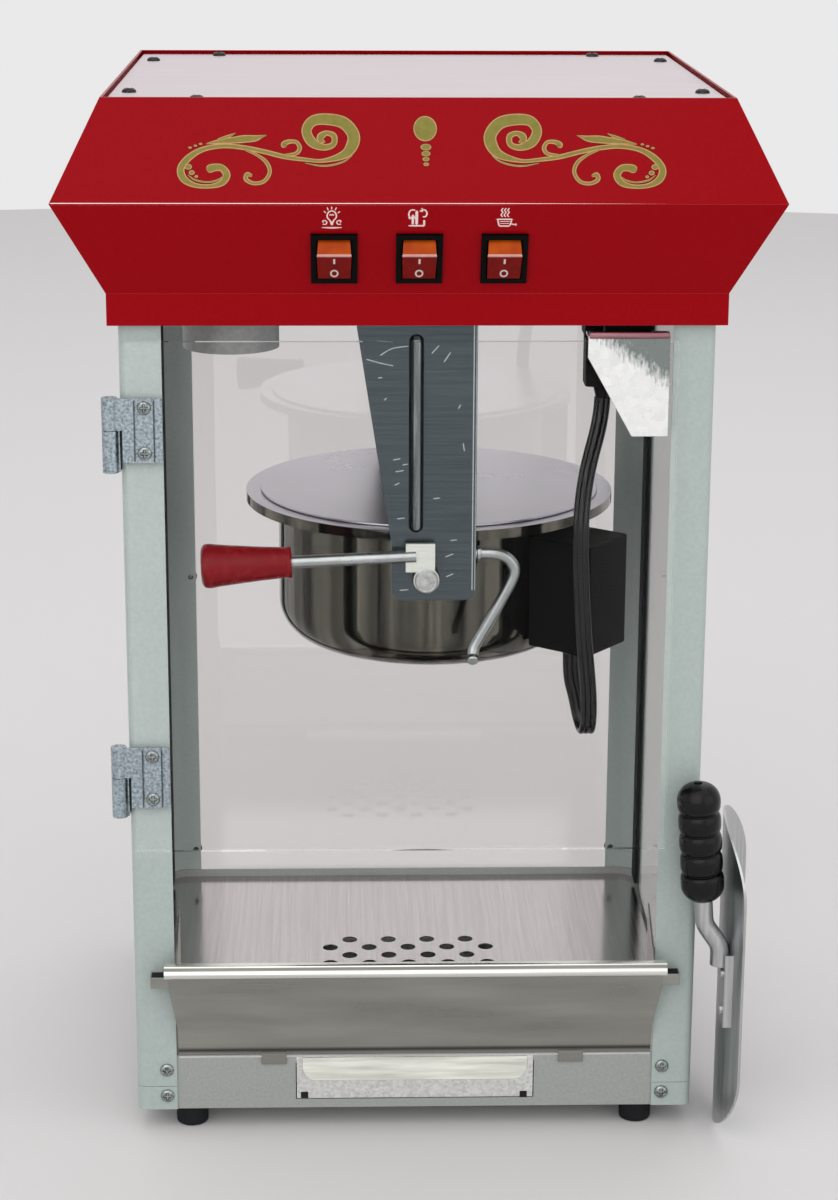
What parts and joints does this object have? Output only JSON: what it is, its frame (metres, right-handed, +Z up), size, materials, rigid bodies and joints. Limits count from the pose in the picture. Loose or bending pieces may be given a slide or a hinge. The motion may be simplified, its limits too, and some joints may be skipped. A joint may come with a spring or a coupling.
{
  "type": "popcorn maker",
  "caption": "Countertop popcorn cabinet with a flared canopy, glazed sides, hinged door, tilting kettle with stirrer, crumb drawer, front guard and serving scoop.",
  "frame": {"origin": "on the table under the middle of the canopy", "axes": "+X to the right seen from the front, +Y to the back, +Z up"},
  "size_m": [0.4049, 0.371, 0.6204],
  "materials": {
    "red_paint": "gloss powder coat",
    "brushed_plate": "brushed",
    "galvanised": "galvanised sheet",
    "black_screw": "black oxide",
    "black_plastic": "moulded",
    "rocker_amber": "translucent moulding",
    "grey_plastic": "moulded",
    "motor_steel": "plated",
    "zinc": "zinc plated",
    "bush_bronze": "sintered",
    "lamp_grey": "spun",
    "ceramic": "glazed",
    "bulb_glass": "clear",
    "kettle_steel": "mirror polished",
    "heater": "oxidised",
    "grip_red": "moulded",
    "post_paint": "satin powder coat",
    "base_paint": "satin powder coat",
    "clear_pane": "clear",
    "black_rubber": "moulded",
    "stainless": "brushed",
    "bright_steel": "bright",
    "aluminium_sheet": "satin"
  },
  "bodies": {
    "cabinet": {"canopy_shell": "red_paint", "canopy_top_plate": "brushed_plate", "canopy_top_screws": "black_screw", "ceiling_pan": "galvanised", "cable_gland": "black_plastic", "terminal_block": "grey_plastic", "switch_housings": "black_plastic", "gear_motor": "motor_steel", "lamp_shade": "lamp_grey", "lamp_socket": "ceramic", "lamp_bulb": "bulb_glass", "hanger_front": "galvanised", "hanger_rear": "galvanised", "ceiling_bolts": "zinc", "pivot_bushes": "bush_bronze", "kettle_outlet": "grey_plastic", "kettle_plug": "grey_plastic", "cord_relief": "black_rubber", "kettle_cord": "black_rubber", "cabinet_posts": "post_paint", "corner_shoes": "post_paint", "frame_screws": "zinc", "side_glass": "clear_pane", "glass_seals": "black_rubber", "back_panel": "clear_pane", "base_pan": "base_paint", "feet": "black_rubber", "floor_plate": "stainless", "door_catch": "zinc", "hinge_leaves_post": "zinc", "hinge_pins": "zinc"},
    "door": {"door_glass": "clear_pane", "hinge_leaves_door": "zinc", "hinge_screws": "zinc", "door_handle": "bright_steel"},
    "kettle": {"kettle_shell": "kettle_steel", "kettle_pan": "kettle_steel", "heater_ring": "heater", "kettle_crossbar": "stainless", "stirrer_bush": "bush_bronze", "lid_pins": "zinc", "terminal_box": "black_plastic", "pivot_studs": "stainless", "pivot_bolt": "zinc", "tilt_lever": "zinc", "tilt_grip": "grip_red"},
    "left_lid": {"lid_left": "kettle_steel"},
    "right_lid": {"lid_right": "kettle_steel"},
    "stirring": {"stirrer": "stainless"},
    "drive": {"drive_shaft": "zinc"},
    "lock": {"lock_lever": "zinc"},
    "light_key": {"rocker_light": "rocker_amber"},
    "stirrer_key": {"rocker_stirrer": "rocker_amber"},
    "heater_key": {"rocker_heater": "rocker_amber"},
    "drawer": {"crumb_drawer": "galvanised"},
    "guard": {"front_guard": "stainless"},
    "scoop": {"scoop_pan": "aluminium_sheet", "scoop_shank": "aluminium_sheet", "scoop_grip": "black_plastic", "scoop_rivets": "aluminium_sheet"}
  },
  "joints": [
    {"name": "door_swing", "type": "hinge", "parent": "cabinet", "child": "door", "pos_m": [-0.173, -0.1552, 0.332], "axis": [0, 0, -1], "range_deg": [0, 110]},
    {"name": "kettle_tilt", "type": "hinge", "parent": "cabinet", "child": "kettle", "pos_m": [0.006, 0, 0.341], "axis": [0, -1, 0], "range_deg": [0, 90], "deforming": ["kettle_cord"]},
    {"name": "lid_left_lift", "type": "hinge", "parent": "kettle", "child": "left_lid", "pos_m": [-0.003, 0, 0.369], "axis": [0, 1, 0], "range_deg": [0, 70]},
    {"name": "lid_right_lift", "type": "hinge", "parent": "kettle", "child": "right_lid", "pos_m": [0.026, 0, 0.369], "axis": [0, -1, 0], "range_deg": [0, 70]},
    {"name": "motor_turn", "type": "hinge", "parent": "cabinet", "child": "drive", "pos_m": [0.0115, 0, 0.48], "axis": [0, 0, 1], "continuous": true},
    {"name": "stirrer_turn", "type": "hinge", "parent": "kettle", "child": "stirring", "pos_m": [0.0115, 0, 0.38], "axis": [0, 0, 1], "continuous": true},
    {"name": "lock_swing", "type": "hinge", "parent": "cabinet", "child": "lock", "pos_m": [0.034, -0.119, 0.354], "axis": [-1, 0, 0], "range_deg": [-10, 22]},
    {"name": "light_switch", "type": "hinge", "parent": "cabinet", "child": "light_key", "pos_m": [-0.0466, -0.16783, 0.53572], "axis": [-1, 0, 0], "range_deg": [0, 24]},
    {"name": "stirrer_switch", "type": "hinge", "parent": "cabinet", "child": "stirrer_key", "pos_m": [0, -0.16783, 0.53572], "axis": [-1, 0, 0], "range_deg": [0, 24]},
    {"name": "heater_switch", "type": "hinge", "parent": "cabinet", "child": "heater_key", "pos_m": [0.0466, -0.16783, 0.53572], "axis": [-1, 0, 0], "range_deg": [0, 24]},
    {"name": "drawer_slide", "type": "slide", "parent": "cabinet", "child": "drawer", "axis": [0, -1, 0], "range_m": [0, 0.18]},
    {"name": "guard_lift", "type": "slide", "parent": "cabinet", "child": "guard", "axis": [0, 0, 1], "range_m": [0, 0.045]},
    {"name": "scoop_lift", "type": "slide", "parent": "cabinet", "child": "scoop", "axis": [0, -0.8, 0.6], "range_m": [0, 0.15]}
  ],
  "couplings": [
    {"joint": "stirrer_turn", "follows": "motor_turn", "ratio": 1}
  ]
}
